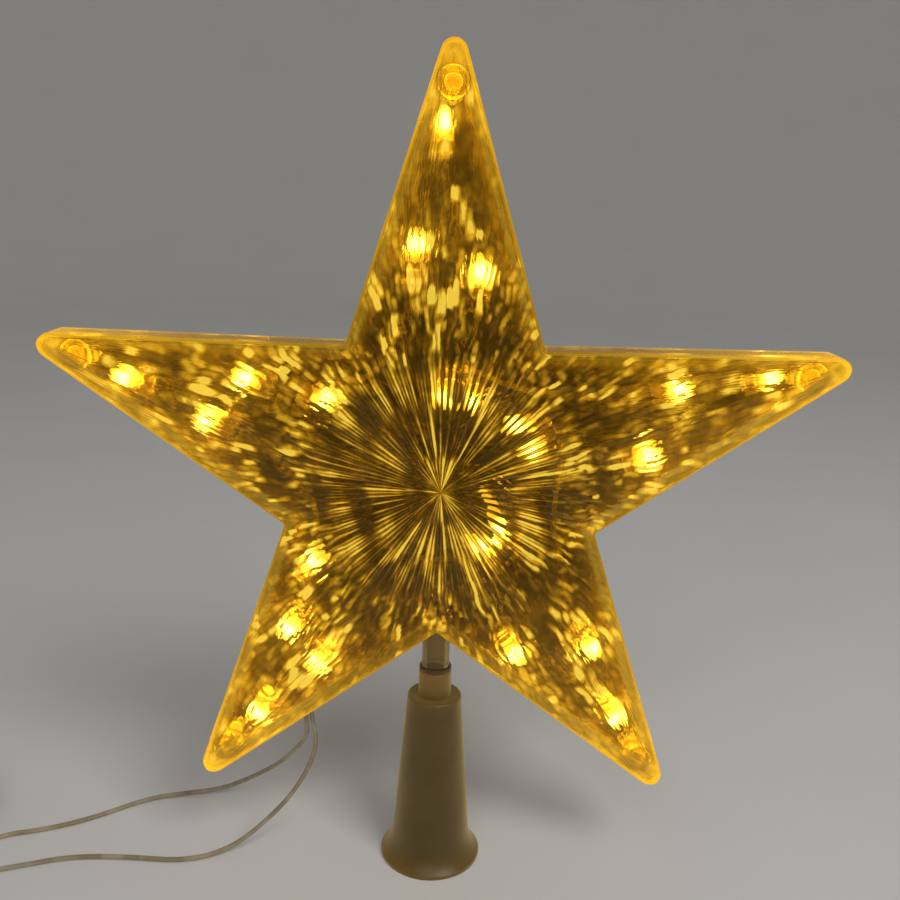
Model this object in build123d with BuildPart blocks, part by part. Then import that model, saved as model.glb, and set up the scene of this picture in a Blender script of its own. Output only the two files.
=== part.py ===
"""Lit five-pointed star for the top of a Christmas tree.

Two clear fluted half shells close on a string of twenty lamps.  The star turns on a clear neck tube, and
the tube plugs into a frosted sleeve that slips over the tree's top shoot.  Two thin leads leave the lower
left arm and end in a tied coil with a plug.

Frame: millimetres, +Z up, the star faces -Y, and the origin is the middle of the sleeve's foot.
"""

import os
from math import asin, atan2, cos, dist, hypot, pi, radians, sin, sqrt, tan

from build123d import *

os.makedirs("parts", exist_ok=True)

# Star outline
tip_reach = 103.7
notch_reach = 41.4
tip_round = 3.2
notch_round = 0.8
arms = {"lower_left": 234.0, "left": 162.0, "top": 90.0, "right": 18.0, "lower_right": 306.0}

# Half shells
wall = 1.6
side_depth = 5.2
apex_depth = 14.5
lip_thickness = 0.7
lip_height = 1.0
lip_gap = 0.1
flutes_per_facet = 6
flute_depth = 0.45
flute_half_width = 0.9

# Pegs that line the two shells up, one near each tip
peg_inset = 9.4
boss_radius = 3.7
peg_radius = 1.9
peg_length = 4.0
peg_gap = 0.1

# Neck tube and its seat in the lower notch
neck_radius = 3.68
neck_bore = 2.5
fit_gap = 0.06
flange_radius = 4.3
flange_thickness = 1.3
flange_drop = 37.2
seat_top_drop = 34.8
seat_half_width = 7.0
collar_radius = 4.3
collar_thickness = 1.4
neck_show = 11.3

# Sleeve
foot_radius = 13.7
foot_edge = 1.0
flare_top = 7.2
flare_radius = 10.6
shoulder_height = 49.0
shoulder_radius = 7.26
spigot_height = 7.3
spigot_radius = 4.4
sleeve_wall = 1.3

# Lamps
lamp_radius = 2.5
lamp_length = 8.0
lamp_seat = 2.5
holder_radius = 3.0
holder_length = 5.5
lamp_lift = 0.25
wire_diameter = 1.2
wire_spread = 0.95

# Leads, coil and plug
lead_diameter = 1.3
lead_floor = 0.75
pair_diameter = 2.7
exit_reach = 73.0
exit_spread = 0.9
pair_start = (-136.0, -16.8)
coil_start_x = -150.0
coil_outer = 20.8
coil_turns = 3
coil_pitch = 3.2
coil_lift = 0.6
tie_thickness = 0.5
tie_width = 3.0
plug_rear_x = -198.0
plug_shift = 8.2
boot_length = 14.0
plug_length = 28.0
plug_width = 27.0
plug_height = 14.0
pin_radius = 2.0
pin_length = 19.0
pin_spacing = 19.0
pin_sleeve_length = 10.0

# Each arm's lamps, as distance along the arm, distance to its side and heading of the dome: the lamp on the
# counter-clockwise side, the tip lamp, the lamp on the clockwise side and the inner lamp
lamp_places = {
    "lower_left": ((63.8, 5.7, 0), (85.3, 1.7, 0), (60.4, -5.8, 0), (37.8, -12.0, 180)),
    "left": ((61.9, 6.2, 0), (84.0, 2.9, 0), (56.0, -6.9, 0), (32.7, -7.6, 180)),
    "top": ((59.0, 7.7, 0), (87.0, 2.0, 0), (52.9, -7.9, 0), (18.4, -3.6, 180)),
    "right": ((64.9, 5.1, 0), (87.2, 1.7, 0), (53.5, -9.6, 0), (22.0, 2.6, 180)),
    "lower_right": ((64.1, 6.1, 0), (85.3, 0.5, 0), (53.8, -11.9, 0), (22.0, 0.5, 180)),
}

peg_reach = tip_reach - peg_inset

# The star stands on the neck tube, and the tube's collar on the sleeve's spigot
spigot_top = shoulder_height + spigot_height
centre_height = spigot_top + collar_thickness + neck_show + notch_reach

# The straight edge of an arm runs from the notch corner and touches the tip's rounding
half_turn = pi / len(arms)
notch_x = notch_reach * cos(half_turn)
notch_y = notch_reach * sin(half_turn)
tip_centre = tip_reach - tip_round
reach = hypot(tip_centre - notch_x, notch_y)
tip_angle = atan2(notch_y, tip_centre - notch_x) - asin(tip_round / reach)
sharp_reach = notch_x + notch_y / tan(tip_angle)
edge_distance = sharp_reach * sin(tip_angle)
slope = (apex_depth - side_depth) / edge_distance
tilt = atan2(slope, 1.0)
inner_edge = edge_distance - wall
inner_side = side_depth + wall * slope - wall / cos(tilt)
inner_apex = apex_depth - wall / cos(tilt)

front_plane = Plane(origin=(0, 0, centre_height), x_dir=(1, 0, 0), z_dir=(0, -1, 0))
rear_plane = Plane(origin=(0, 0, centre_height), x_dir=(-1, 0, 0), z_dir=(0, 1, 0))


def save(part, name):
    """Label a finished piece and write it."""
    part.label = name
    export_step(part, f"parts/{name}.step")
    print(name, "volume", round(part.volume, 1))


def sharp_face(plane, inset=0.0):
    """Sharp-cornered outline of the star on a plane, drawn in by inset all round."""
    shrink = (edge_distance - inset) / edge_distance
    corners = []
    for step in range(2 * len(arms)):
        size = shrink * (sharp_reach if step % 2 == 0 else notch_reach)
        angle = pi / 2 + step * half_turn
        corners.append((size * cos(angle), size * sin(angle)))
    with BuildSketch(plane, mode=Mode.PRIVATE) as outline:
        with BuildLine():
            Polyline(*corners, close=True)
        make_face()
    return outline.sketch


def star_face(plane, inset=0.0):
    """Outline of the star with rounded tips and notches, drawn in by inset all round."""
    middle = (sharp_reach + notch_reach) / 2
    with BuildSketch(plane, mode=Mode.PRIVATE) as outline:
        add(sharp_face(Plane.XY, inset))
        tips = outline.vertices().filter_by(lambda v: Vector(v).length > middle)
        fillet(tips, tip_round - inset)
        notches = outline.vertices().filter_by(lambda v: Vector(v).length < middle * 0.7)
        fillet(notches, notch_round + inset)
    return outline.sketch


def star_solid(plane, outward, inset, start, side, apex):
    """Five-pointed pyramid that stands on a straight-sided rim."""
    peak = Vertex(0, outward * apex, centre_height)
    with BuildPart() as solid:
        extrude(to_extrude=sharp_face(plane.offset(start), inset), amount=side - start)
        loft(sections=[sharp_face(plane.offset(side), inset), peak], ruled=True)
        rounded = star_face(plane.offset(start), inset)
        extrude(to_extrude=rounded, amount=apex - start + 1, mode=Mode.INTERSECT)
    return solid.part


def facet_edge(arm_angle, side):
    """Outward direction of the arm's edge on the counter-clockwise (+1) or clockwise (-1) side."""
    turn = radians(arm_angle) + side * (pi / 2 - tip_angle)
    return Vector(cos(turn), 0, sin(turn))


def flute_cutters(outward):
    """V-shaped flutes that run out from the apex over every facet."""
    cutters = []
    for arm_angle in arms.values():
        for side in (1, -1):
            edge = facet_edge(arm_angle, side)
            face_normal = Vector(edge.X * sin(tilt), outward * cos(tilt), edge.Z * sin(tilt))
            for index in range(flutes_per_facet):
                angle = radians(arm_angle) + side * half_turn * (index + 0.5) / flutes_per_facet
                out = Vector(cos(angle), 0, sin(angle))
                rim_distance = edge_distance / out.dot(edge)
                down = Vector(out.X, outward * (side_depth - apex_depth) / rim_distance, out.Z)
                across = face_normal.cross(down).normalized()
                grooves = []
                for share, size in ((0.14, 0.3), (0.9, 1.0)):
                    depth = apex_depth + share * (side_depth - apex_depth)
                    spot = out * rim_distance * share + Vector(0, outward * depth, centre_height)
                    half = flute_half_width * size
                    section = Plane(origin=spot, x_dir=across, z_dir=across.cross(face_normal))
                    with BuildSketch(section, mode=Mode.PRIVATE) as groove:
                        with BuildLine():
                            Polyline((-half * 1.5, flute_depth * size * 0.5), (0, -flute_depth * size),
                                     (half * 1.5, flute_depth * size * 0.5), close=True)
                        make_face()
                    grooves.append(groove.sketch)
                with BuildPart(mode=Mode.PRIVATE) as cutter:
                    loft(sections=grooves, ruled=True)
                cutters.append(cutter.part)
    return cutters


def arm_point(arm, along, aside, depth):
    """World position of a place given along and beside an arm's middle line."""
    angle = radians(arms[arm])
    return Vector(along * cos(angle) - aside * sin(angle), depth,
                  centre_height + along * sin(angle) + aside * cos(angle))


def half_width(along):
    """Clear half width of the inside of an arm."""
    return (sharp_reach - along) * tan(tip_angle) - wall / cos(tip_angle)


# The two wires leave downwards through the lower edge of the lower left arm, side by side
exit_run = Vector(0.1, 0, -1).normalized()
exit_length = wall / exit_run.dot(facet_edge(arms["lower_left"], 1)) + 0.45


def exit_points(along):
    """Where a wire enters its hole in the lower left arm's edge and where it is clear of it."""
    inside = arm_point("lower_left", along, half_width(along), 0)
    return inside, inside + exit_run * exit_length


exit_front = exit_points(exit_reach - exit_spread)
exit_back = exit_points(exit_reach + exit_spread)


def lip_face(plane, outer_inset, inner_inset):
    """Ring between two outlines drawn in from the star's edge."""
    with BuildSketch(plane, mode=Mode.PRIVATE) as ring:
        add(star_face(Plane.XY, outer_inset))
        add(star_face(Plane.XY, inner_inset), mode=Mode.SUBTRACT)
    return ring.sketch


def half_shell(plane, outward, is_rear):
    """One half of the star: fluted face, rim, pegs or sockets, half of the neck's seat."""
    bore = neck_radius + fit_gap
    groove_half = flange_thickness / 2 + 0.15
    with BuildPart() as cavity:
        add(star_solid(plane, outward, wall, -1.0, inner_side, inner_apex))
        with BuildSketch(plane.offset(-2)):
            with Locations((0, -seat_top_drop - 20)):
                Rectangle(2 * seat_half_width, 40)
            with PolarLocations(peg_reach, len(arms), start_angle=90):
                Circle(boss_radius)
        extrude(amount=apex_depth + 4, mode=Mode.SUBTRACT)
    with BuildPart() as shell:
        add(star_solid(plane, outward, 0.0, 0.0, side_depth, apex_depth))
        add(cavity.part, mode=Mode.SUBTRACT)
        add(flute_cutters(outward), mode=Mode.SUBTRACT)
        if is_rear:
            lip = lip_face(plane.offset(-lip_height), wall - lip_thickness, wall)
            extrude(to_extrude=lip, amount=lip_height)
            with BuildSketch(plane.offset(-peg_length)):
                with PolarLocations(peg_reach, len(arms), start_angle=90):
                    Circle(peg_radius)
            extrude(amount=peg_length + 1)
        else:
            slot = lip_face(plane, wall - lip_thickness - lip_gap, wall + lip_gap)
            extrude(to_extrude=slot, amount=lip_height + lip_gap, mode=Mode.SUBTRACT)
            with BuildSketch(plane):
                with PolarLocations(peg_reach, len(arms), start_angle=90):
                    Circle(peg_radius + peg_gap)
            extrude(amount=peg_length + 2 * peg_gap, mode=Mode.SUBTRACT)
        with BuildSketch(Plane.XY.offset(centre_height - seat_top_drop - 20)):
            Circle(bore)
        extrude(amount=30, mode=Mode.SUBTRACT)
        with BuildSketch(Plane.XY.offset(centre_height - flange_drop - groove_half)):
            Circle(flange_radius + 0.15)
        extrude(amount=2 * groove_half, mode=Mode.SUBTRACT)
        for inside, outside in (exit_front, exit_back):
            with BuildSketch(Plane(origin=inside - exit_run, z_dir=exit_run)):
                Circle(lead_diameter / 2 + 0.1)
            extrude(amount=exit_length + 2, mode=Mode.SUBTRACT)
    return shell.part


save(half_shell(front_plane, -1, False), "front_shell")
save(half_shell(rear_plane, 1, True), "rear_shell")

# Neck tube, with the flange that the shells close on and the collar that stops it on the spigot
neck_bottom = shoulder_height - sleeve_wall + 0.2
flange_bottom = centre_height - flange_drop - flange_thickness / 2
with BuildPart() as neck_tube:
    with BuildSketch(Plane.XY.offset(neck_bottom)):
        Circle(neck_radius)
    extrude(amount=centre_height - seat_top_drop - 0.1 - neck_bottom)
    with BuildSketch(Plane.XY.offset(flange_bottom)):
        Circle(flange_radius)
    extrude(amount=flange_thickness)
    with BuildSketch(Plane.XY.offset(spigot_top)):
        Circle(collar_radius)
    extrude(amount=collar_thickness)
    fillet(neck_tube.edges().filter_by(GeomType.CIRCLE).filter_by_position(
        Axis.Z, spigot_top + collar_thickness - 0.01, spigot_top + collar_thickness + 0.01).sort_by(
        SortBy.RADIUS)[-1], 0.5)
    with BuildSketch(Plane.XY.offset(neck_bottom)):
        Circle(neck_bore)
    extrude(amount=centre_height, mode=Mode.SUBTRACT)
save(neck_tube.part, "neck_tube")

# Sleeve: hollow taper with a bell-shaped foot, and a spigot that takes the neck tube
cone_run = Vector(flare_radius - shoulder_radius, flare_top - shoulder_height)
roof = shoulder_height - sleeve_wall
inner_top = shoulder_radius - sleeve_wall
inner_flare = flare_radius - sleeve_wall
inner_run = Vector(inner_flare - inner_top, flare_top - roof)
spigot_bore = neck_radius + fit_gap
with BuildPart() as base_sleeve:
    with BuildSketch(Plane.XZ):
        with BuildLine():
            Polyline((foot_radius - sleeve_wall, 0), (foot_radius, 0), (foot_radius, foot_edge))
            TangentArc((flare_radius, flare_top), (foot_radius, foot_edge), tangent=cone_run)
            Polyline((flare_radius, flare_top), (shoulder_radius, shoulder_height),
                     (spigot_radius, shoulder_height), (spigot_radius, spigot_top),
                     (spigot_bore, spigot_top), (spigot_bore, roof), (inner_top, roof),
                     (inner_flare, flare_top))
            TangentArc((inner_flare, flare_top), (foot_radius - sleeve_wall, 0), tangent=inner_run)
        make_face()
    revolve(axis=Axis.Z)
    shoulder_rim = base_sleeve.edges().filter_by(GeomType.CIRCLE).filter_by_position(
        Axis.Z, shoulder_height - 0.01, shoulder_height + 0.01).sort_by(SortBy.RADIUS)
    fillet(shoulder_rim[-1], 0.7)
    spigot_rim = base_sleeve.edges().filter_by(GeomType.CIRCLE).filter_by_position(
        Axis.Z, spigot_top - 0.01, spigot_top + 0.01).sort_by(SortBy.RADIUS)
    chamfer(spigot_rim[-1], 0.3)
save(base_sleeve.part, "base_sleeve")


def lamp_frame(arm, place):
    """Where a lamp's back is and the way that its dome looks, lying on the rear shell's inner face."""
    along, aside, heading = place
    edge = facet_edge(arms[arm], 1 if aside >= 0 else -1)
    turn = radians(arms[arm] + heading)
    flat = Vector(cos(turn), 0, sin(turn))
    inward = Vector(edge.X * sin(tilt), cos(tilt), edge.Z * sin(tilt)) * -1
    look = Vector(flat.X, -slope * flat.dot(edge), flat.Z).normalized()
    stand_off = holder_radius + lamp_lift
    middle = arm_point(arm, along, aside, 0)
    from_centre = middle - Vector(0, 0, centre_height)
    foot_distance = inner_edge - from_centre.dot(edge) - stand_off * sin(tilt)
    depth = inner_side + slope * foot_distance - stand_off * cos(tilt)
    centre = middle + Vector(0, depth, 0)
    back = centre - look * ((lamp_length - lamp_seat) / 2 + holder_length)
    beside = look.cross(inward)
    arm_turn = radians(arms[arm] + 90)
    if beside.dot(Vector(cos(arm_turn), 0, sin(arm_turn))) < 0:
        beside = beside * -1
    return back, look, beside


# Lamps and their holders
frames = {}
for arm, places in lamp_places.items():
    for number, place in enumerate(places, 1):
        back, look, beside = lamp_frame(arm, place)
        frames[arm, number] = (back, look, beside)
        with BuildPart() as led_holder:
            with BuildSketch(Plane(origin=back, x_dir=beside, z_dir=look)):
                Circle(holder_radius)
            extrude(amount=holder_length)
            chamfer(led_holder.faces().sort_by(lambda f: (f.center() - back).length)[0].edges(), 0.6)
            with BuildSketch(Plane(origin=back + look * holder_length, x_dir=beside, z_dir=look)):
                Circle(lamp_radius + 0.02)
            extrude(amount=-lamp_seat, mode=Mode.SUBTRACT)
        save(led_holder.part, f"led_holder_{arm}_{number}")
        seat = back + look * (holder_length - lamp_seat)
        with BuildPart() as led:
            with BuildSketch(Plane(origin=seat, x_dir=beside, z_dir=look)):
                Circle(lamp_radius)
            extrude(amount=lamp_length - lamp_radius)
            dome_plane = Plane(origin=seat + look * (lamp_length - lamp_radius), x_dir=beside,
                               z_dir=beside.cross(look))
            with BuildSketch(dome_plane):
                with BuildLine():
                    Polyline((lamp_radius, 0), (0, 0), (0, lamp_radius))
                    CenterArc((0, 0), lamp_radius, 0, 90)
                make_face()
            revolve(axis=Axis(dome_plane.origin, look))
        save(led.part, f"led_{arm}_{number}")


def corner_radii(points):
    """Bend at each corner of a route, as large as the shorter of its two runs leaves room for."""
    radii = []
    for before, corner, after in zip(points, points[1:], points[2:]):
        run_in = corner - before
        run_out = after - corner
        turn = radians(run_in.get_angle(run_out))
        radii.append(0.45 * min(run_in.length, run_out.length) / tan(turn / 2))
    return radii


def tube(points, diameter):
    """Round wire along straight runs joined by bends."""
    points = [Vector(*point) for point in points]
    with BuildPart() as wire:
        with BuildLine() as route:
            FilletPolyline(*points, radius=corner_radii(points))
        with BuildSketch(Plane(origin=points[0], z_dir=points[1] - points[0])):
            Circle(diameter / 2)
        sweep(path=route.wires()[0])
    length = route.wires()[0].length
    full = length * pi * diameter**2 / 4
    print("  wire length", round(length, 1), "share of full volume", round(wire.part.volume / full, 4))
    return wire.part, length


def wire_end(arm, number, side, stub):
    """A wire's end on the back of a lamp holder, and the point that it leaves straight to."""
    back, look, beside = frames[arm, number]
    end = back + beside * wire_spread * side
    return end, end - look * stub


# Lamp string: each arm's counter-clockwise lamp, tip lamp, clockwise lamp and inner lamp in turn, then the
# next arm, in front of the lamps
near = -2.4
mid = -3.6
loop_top = centre_height - seat_top_drop + 13.3
arm_names = list(arms)
for order, arm in enumerate(arm_names):
    first, tip, second, inner = lamp_places[arm]
    to_back = (lamp_length - lamp_seat) / 2 + holder_length
    routes = []
    start, leave = wire_end(arm, 1, 1, 2.5)
    end, arrive = wire_end(arm, 2, 1, 3.0)
    routes.append([start, leave, arm_point(arm, first[0] - to_back - 1.5, first[1] + 5.0, near),
                   arm_point(arm, first[0] + 4.5, first[1] + 0.8, near), arrive, end])
    start, leave = wire_end(arm, 2, -1, 3.0)
    end, arrive = wire_end(arm, 3, 1, 2.5)
    routes.append([start, leave, arm_point(arm, second[0] + 4.0, second[1] + 5.2, near),
                   arm_point(arm, second[0] - to_back - 3.2, second[1] + 4.6, near), arrive, end])
    start, leave = wire_end(arm, 3, -1, 2.5)
    end, arrive = wire_end(arm, 4, 1, 2.5)
    routes.append([start, leave, arrive, end])
    start, leave = wire_end(arm, 4, -1, 2.0)
    inner_back = inner[0] + to_back
    if order + 1 < len(arm_names):
        following = arm_names[order + 1]
        end, arrive = wire_end(following, 1, -1, 2.5)
        next_first = lamp_places[following][0]
        aside = max(inner[1] - 5.5, 3.5 - half_width(inner_back))
        routes.append([start, leave, arm_point(arm, inner_back + 0.6, aside, mid),
                       arm_point(following, 24.0, 17.4, mid),
                       arm_point(following, next_first[0] - 20.0, next_first[1] + 3.0, near - 0.6),
                       arrive, end])
    else:
        routes.append([start, leave, arm_point(arm, inner_back - 1.0, inner[1] - 6.0, mid),
                       Vector(8.5, mid, loop_top + 1.0), Vector(-6.5, mid, loop_top),
                       Vector(-10.5, mid, loop_top - 10.5),
                       arm_point("lower_left", exit_reach - 26.2, 15.6, near),
                       arm_point("lower_left", exit_reach - 13.7, 13.4, near),
                       arm_point("lower_left", exit_reach - 6.7, 11.2, near),
                       exit_front[0] - exit_run * 1.6, exit_front[1]])
    if order == 0:
        end, arrive = wire_end(arm, 1, -1, 2.5)
        routes.append([exit_back[1], exit_back[0] - exit_run * 4.0,
                       arm_point(arm, exit_reach - 6.2, 8.8, near),
                       arm_point(arm, exit_reach - 15.2, 12.0, near),
                       arm_point(arm, exit_reach - 22.7, 12.8, near),
                       arm_point(arm, exit_reach - 26.2, 7.0, near), arrive, end])
    with BuildPart() as string_wires:
        for route in routes:
            add(tube(route, wire_diameter)[0])
    save(string_wires.part, f"string_wires_{arm}")

# Leads: each falls from the arm's edge to the floor and runs left until the two twist together
join_x, join_y = pair_start
pair_floor = coil_lift + pair_diameter / 2
lead_places = {
    "lead_front": [exit_front[1], exit_front[1] + exit_run * 4.0, (-31.7, -0.7, 33.4), (-34.0, -1.4, 25.6),
                   (-39.0, -2.2, 17.0), (-46.8, -2.8, 8.2), (-56.0, -4.6, lead_floor + 0.3),
                   (-67.0, -9.6, lead_floor), (-82.4, -8.5, lead_floor), (-98.0, -8.9, lead_floor),
                   (-110.0, -13.2, lead_floor), (-121.0, -17.0, lead_floor), (-127.0, -18.1, 1.2),
                   (join_x + 4.5, join_y - lead_diameter / 2 - 0.03, pair_floor),
                   (join_x, join_y - lead_diameter / 2 - 0.03, pair_floor)],
    "lead_back": [exit_back[1], exit_back[1] + exit_run * 4.0, (-35.2, 3.4, 32.2), (-39.4, 7.6, 25.2),
                  (-44.8, 12.0, 17.8), (-53.8, 18.0, 9.2), (-63.6, 21.8, 2.4), (-74.6, 21.4, lead_floor),
                  (-85.4, 18.2, lead_floor), (-98.5, 7.8, lead_floor), (-110.5, 2.0, lead_floor),
                  (-120.5, -0.6, lead_floor), (-125.5, -6.2, lead_floor), (-128.0, -12.0, 1.2),
                  (join_x + 4.5, join_y + lead_diameter / 2 + 0.03, pair_floor),
                  (join_x, join_y + lead_diameter / 2 + 0.03, pair_floor)],
}
for name, places in lead_places.items():
    lead, length = tube(places, lead_diameter)
    print(name, "radii", [round(r, 1) for r in corner_radii([Vector(*p) for p in places])])
    save(lead, name)

# Coil: the twisted pair spirals in and out in four layers, from the front point of its circle to the same
# point, clockwise from above
layers = 4
coil_middle = Vector(coil_start_x, join_y + coil_outer, 0)
coil_inner = coil_outer - coil_turns * coil_pitch


def coil_state(turn):
    """Radius, height and their rates per turn after so many turns of winding."""
    cycle = coil_turns + 0.5
    layer = min(int(turn / cycle + 1e-9), layers - 1)
    inside = turn - layer * cycle
    sign = -1 if layer % 2 == 0 else 1
    base = coil_outer if layer % 2 == 0 else coil_inner
    height = pair_floor + layer * coil_pitch
    if inside <= coil_turns + 1e-9:
        return base + sign * coil_pitch * inside, height, sign * coil_pitch, 0.0
    share = (inside - coil_turns) / 0.5
    edge = base + sign * coil_pitch * coil_turns
    bulge = sign * coil_pitch * 0.5 * (share if share < 0.5 else 1 - share)
    climb = coil_pitch * share * share * (3 - 2 * share)
    rate = 0.0 if abs(share - 0.5) < 1e-9 else sign * coil_pitch * (1 if share < 0.5 else -1)
    return edge + bulge, height + climb, rate, coil_pitch * 6 * share * (1 - share) / 0.5


def coil_point(turn):
    """Place on the coil and the way that the pair runs there."""
    radius, height, rate, climb = coil_state(turn)
    angle = -pi / 2 - 2 * pi * turn
    out = Vector(cos(angle), sin(angle), 0)
    along = Vector(sin(angle), -cos(angle), 0)
    run = along * radius * 2 * pi + out * rate + Vector(0, 0, climb)
    return coil_middle + out * radius + Vector(0, 0, height), run.normalized()


def biarc(start, start_run, end, end_run):
    """Middle point and direction of two arcs that join a start and an end smoothly."""
    gap = end - start
    spread = 2 * (1 - start_run.dot(end_run))
    both = gap.dot(start_run + end_run)
    if spread < 1e-9:
        size = gap.dot(gap) / (4 * gap.dot(end_run))
    else:
        size = (-both + sqrt(both * both + spread * gap.dot(gap))) / spread
    one = start + start_run * size
    two = end - end_run * size
    return (one + two) * 0.5, (two - one).normalized()


total_turns = layers * (coil_turns + 0.5) - 1
quarters = round(total_turns * 4)
stops = [coil_point(index / 4) for index in range(quarters + 1)]
flat_run = Vector(-1, 0, 0)
stops[0] = (stops[0][0], flat_run)
stops[-1] = (stops[-1][0], flat_run)
coil_end = stops[-1][0]
plug_middle = plug_height / 2
plug_y = coil_end.Y + plug_shift
tail_places = [coil_end, coil_end + Vector(-11.5, 0, 0), coil_end + Vector(-24.0, 1.0, -2.95),
               Vector(plug_rear_x + 14, plug_y - 2.8, plug_middle),
               Vector(plug_rear_x + 7, plug_y, plug_middle), Vector(plug_rear_x, plug_y, plug_middle)]
with BuildPart() as lead_coil:
    with BuildLine() as wound:
        Line((join_x, join_y, pair_floor), stops[0][0])
        for (start, start_run), (end, end_run) in zip(stops, stops[1:]):
            middle, middle_run = biarc(start, start_run, end, end_run)
            TangentArc(start, middle, tangent=start_run)
            TangentArc(middle, end, tangent=middle_run)
        FilletPolyline(*tail_places, radius=corner_radii(tail_places))
    with BuildSketch(Plane(origin=(join_x, join_y, pair_floor), z_dir=flat_run)):
        Circle(pair_diameter / 2)
    sweep(path=wound.wires()[0])
wound_length = wound.wires()[0].length
full_volume = wound_length * pi * pair_diameter**2 / 4
print("coil solids", len(wound.wires()), "length", round(wound_length, 1), "volume share",
      round(lead_coil.part.volume / full_volume, 4))
spot_count = 1000
spots = [wound.wires()[0].position_at(index / spot_count).to_tuple() for index in range(spot_count + 1)]
least = min(dist(spots[i], spots[j]) for i in range(spot_count) for j in range(i + 20, spot_count + 1))
print("coil least gap", round(least - pair_diameter, 2), "turns", total_turns)
save(lead_coil.part, "lead_coil")

# Tie round the coil's bundle, at its back
bundle_in = coil_inner - coil_pitch / 4 - pair_diameter / 2 - 0.3
bundle_out = coil_outer + coil_pitch / 4 + pair_diameter / 2 + 0.3
bundle_top = pair_floor + (layers - 1) * coil_pitch + pair_diameter / 2 + 0.3
bundle_bottom = tie_thickness
tie_plane = Plane(origin=coil_middle + Vector(tie_width / 2, (bundle_in + bundle_out) / 2,
                                              (bundle_top + bundle_bottom) / 2),
                  x_dir=(0, 1, 0), z_dir=(-1, 0, 0))
with BuildPart() as coil_tie:
    with BuildSketch(tie_plane):
        RectangleRounded(bundle_out - bundle_in + 2 * tie_thickness,
                         bundle_top - bundle_bottom + 2 * tie_thickness, 1.5 + tie_thickness)
        RectangleRounded(bundle_out - bundle_in, bundle_top - bundle_bottom, 1.5, mode=Mode.SUBTRACT)
    extrude(amount=tie_width)
save(coil_tie.part, "coil_tie")

# Plug: moulded body with a tapered boot, two round pins and the insulating sleeves on them
plug_face_x = plug_rear_x - boot_length - plug_length
pin_depth = 9.0
with BuildPart() as plug_body:
    with BuildSketch(Plane(origin=(plug_rear_x - boot_length, plug_y, plug_middle), x_dir=(0, 1, 0),
                           z_dir=(-1, 0, 0))):
        RectangleRounded(plug_width * 0.62, plug_height, 5.0)
    with BuildSketch(Plane(origin=(plug_face_x, plug_y, plug_middle), x_dir=(0, 1, 0), z_dir=(-1, 0, 0))):
        RectangleRounded(plug_width, plug_height, 5.0)
    loft()
    fillet(plug_body.faces().sort_by(Axis.X)[-1].edges(), 1.5)
    with BuildSketch(Plane(origin=(plug_rear_x, plug_y, plug_middle), z_dir=(-1, 0, 0))):
        Circle(2.0)
    with BuildSketch(Plane(origin=(plug_rear_x - boot_length - 0.5, plug_y, plug_middle), z_dir=(-1, 0, 0))):
        Circle(4.2)
    loft()
    for side in (1, -1):
        with BuildSketch(Plane(origin=(plug_face_x, plug_y + side * pin_spacing / 2, plug_middle),
                               z_dir=(1, 0, 0))):
            Circle(pin_radius + 0.02)
        extrude(amount=pin_depth, mode=Mode.SUBTRACT)
save(plug_body.part, "plug_body")

sleeve_radius = pin_radius - 0.1
with BuildPart() as plug_pins:
    for side in (1, -1):
        root = Vector(plug_face_x + pin_depth, plug_y + side * pin_spacing / 2, plug_middle)
        with BuildSketch(Plane(origin=root, z_dir=(-1, 0, 0))):
            Circle(pin_radius)
        extrude(amount=pin_depth)
        with BuildSketch(Plane(origin=root - Vector(pin_depth, 0, 0), z_dir=(-1, 0, 0))):
            Circle(pin_radius - 0.5)
        extrude(amount=pin_sleeve_length)
        with BuildSketch(Plane(origin=root - Vector(pin_depth + pin_sleeve_length, 0, 0), z_dir=(-1, 0, 0))):
            Circle(pin_radius)
        extrude(amount=pin_length - pin_sleeve_length)
    pin_ends = plug_pins.faces().sort_by(Axis.X)[:2]
    fillet(pin_ends.edges(), 1.2)
save(plug_pins.part, "plug_pins")

with BuildPart() as plug_pin_sleeves:
    for side in (1, -1):
        with BuildSketch(Plane(origin=(plug_face_x, plug_y + side * pin_spacing / 2, plug_middle),
                               z_dir=(-1, 0, 0))):
            Circle(sleeve_radius)
            Circle(pin_radius - 0.48, mode=Mode.SUBTRACT)
        extrude(amount=pin_sleeve_length)
save(plug_pin_sleeves.part, "plug_pin_sleeves")
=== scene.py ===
# %% [markdown]
# # A lit star for the top of a Christmas tree
# The star is two clear half shells, fluted all over, that close on a string of twenty warm lamps. It turns
# on a clear neck tube, and the tube stands in a frosted sleeve that slips over the tree's top shoot. Two
# thin leads fall from the lower left arm and run away to a coil and a plug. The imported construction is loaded
# first as a fixed frame, and everything below is built round it, in metres.

# %% Load the frame
from math import asin, atan2, cos, hypot, pi, radians, sin, tan

import bmesh
import bpy
import numpy as np
from mathutils import Matrix, Vector


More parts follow.
